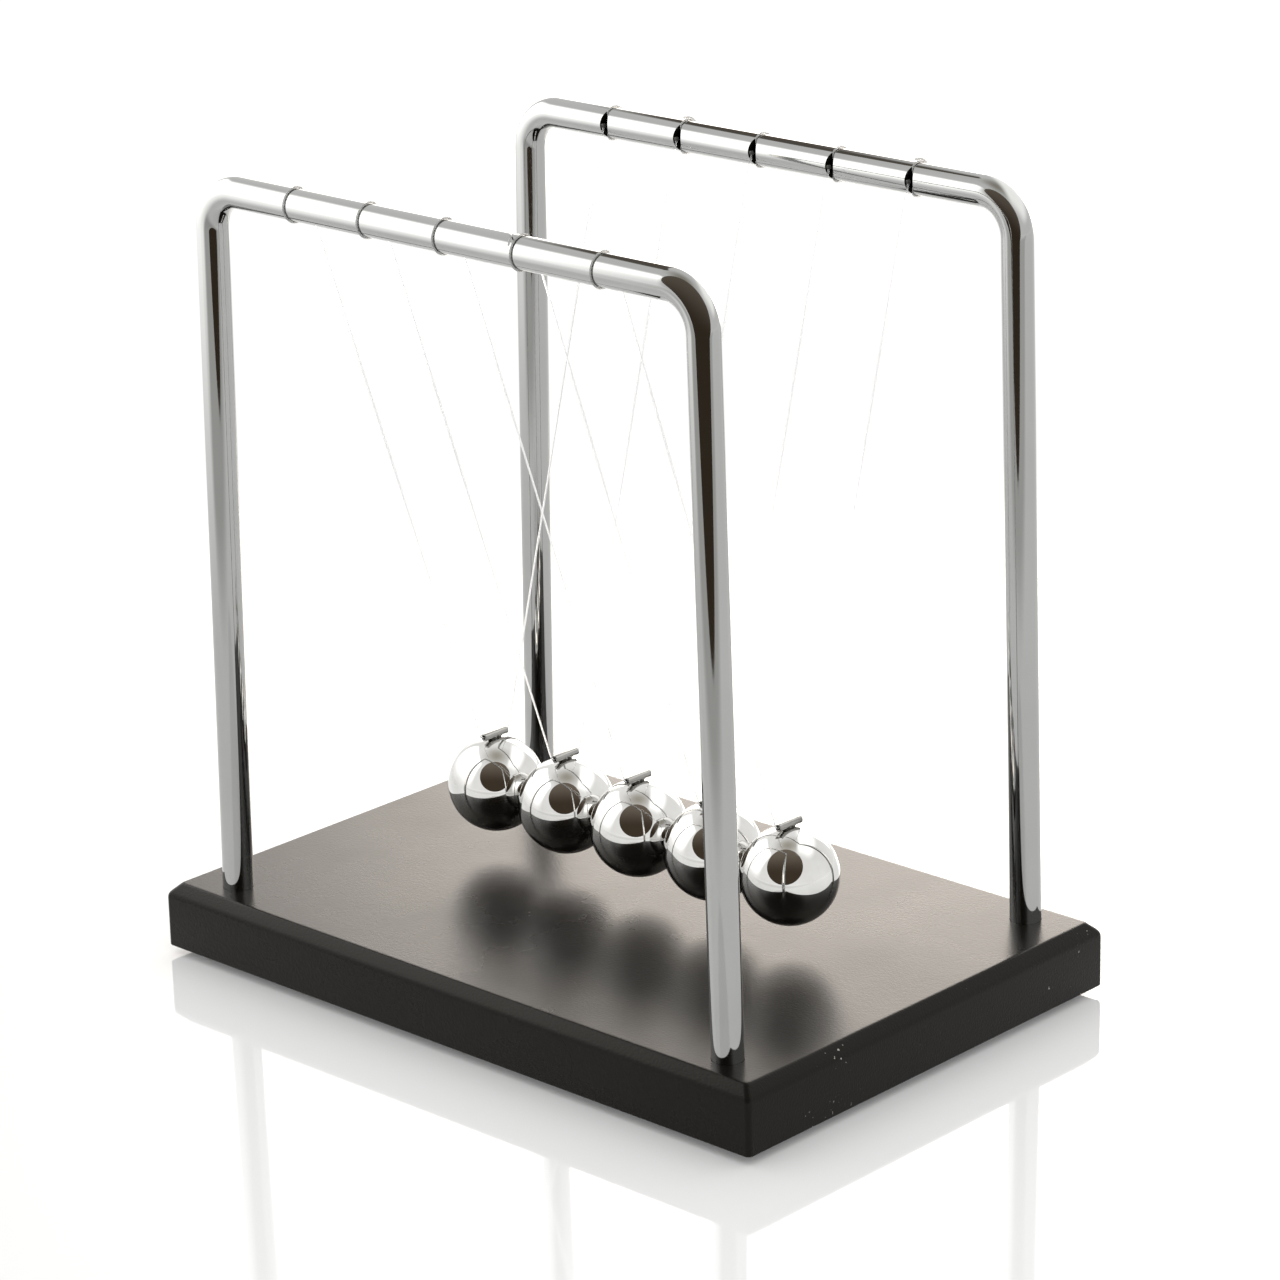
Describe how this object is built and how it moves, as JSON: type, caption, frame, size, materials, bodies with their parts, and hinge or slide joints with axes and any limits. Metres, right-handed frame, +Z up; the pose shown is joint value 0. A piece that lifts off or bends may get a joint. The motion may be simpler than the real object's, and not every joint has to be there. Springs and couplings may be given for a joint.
{
  "type": "newtons cradle",
  "caption": "Desk toy: a row of steel balls hung on V-shaped nylon lines between two bent chrome tubes on a black board; end balls swing and knock.",
  "frame": {"origin": "centre of the footprint, at the underside of the feet", "axes": "+X along the row of balls, +Y from the front tube to the rear tube, +Z up"},
  "size_m": [0.176, 0.117, 0.1825],
  "materials": {
    "board": "satin black, fine orange-peel top",
    "tube": "polished chrome plate",
    "ball": "mirror polished steel",
    "clip": "polished",
    "line": "clear nylon monofilament",
    "foot": "matt",
    "plug": "turned",
    "screw": "zinc plated"
  },
  "bodies": {
    "stand": {"base_board": "board", "front_frame": "tube", "rear_frame": "tube", "foot_front_left": "foot", "foot_front_right": "foot", "foot_rear_left": "foot", "foot_rear_right": "foot", "leg_plug_front_left": "plug", "leg_plug_front_right": "plug", "leg_plug_rear_left": "plug", "leg_plug_rear_right": "plug", "leg_screw_front_left": "screw", "leg_screw_front_right": "screw", "leg_screw_rear_left": "screw", "leg_screw_rear_right": "screw", "rail_loop_front_1": "line", "rail_loop_front_2": "line", "rail_loop_front_3": "line", "rail_loop_front_4": "line", "rail_loop_front_5": "line", "rail_loop_rear_1": "line", "rail_loop_rear_2": "line", "rail_loop_rear_3": "line", "rail_loop_rear_4": "line", "rail_loop_rear_5": "line"},
    "pendulum_1": {"ball_1": "ball", "clip_1": "clip", "line_1": "line", "knot_front_1": "line", "knot_rear_1": "line"},
    "pendulum_2": {"ball_2": "ball", "clip_2": "clip", "line_2": "line", "knot_front_2": "line", "knot_rear_2": "line"},
    "pendulum_3": {"ball_3": "ball", "clip_3": "clip", "line_3": "line", "knot_front_3": "line", "knot_rear_3": "line"},
    "pendulum_4": {"ball_4": "ball", "clip_4": "clip", "line_4": "line", "knot_front_4": "line", "knot_rear_4": "line"},
    "pendulum_5": {"ball_5": "ball", "clip_5": "clip", "line_5": "line", "knot_front_5": "line", "knot_rear_5": "line"}
  },
  "joints": [
    {"name": "swing_1", "type": "hinge", "parent": "stand", "child": "pendulum_1", "pos_m": [-0.0443, 0, 0.1786], "axis": [0, -1, 0], "range_deg": [-60, 0]},
    {"name": "swing_2", "type": "hinge", "parent": "stand", "child": "pendulum_2", "pos_m": [-0.02215, 0, 0.1786], "axis": [0, -1, 0], "range_deg": [-0.05, 0.05]},
    {"name": "swing_3", "type": "hinge", "parent": "stand", "child": "pendulum_3", "pos_m": [0, 0, 0.1786], "axis": [0, -1, 0], "range_deg": [-0.05, 0.05]},
    {"name": "swing_4", "type": "hinge", "parent": "stand", "child": "pendulum_4", "pos_m": [0.02215, 0, 0.1786], "axis": [0, -1, 0], "range_deg": [-0.05, 0.05]},
    {"name": "swing_5", "type": "hinge", "parent": "stand", "child": "pendulum_5", "pos_m": [0.0443, 0, 0.1786], "axis": [0, -1, 0], "range_deg": [0, 60]}
  ]
}
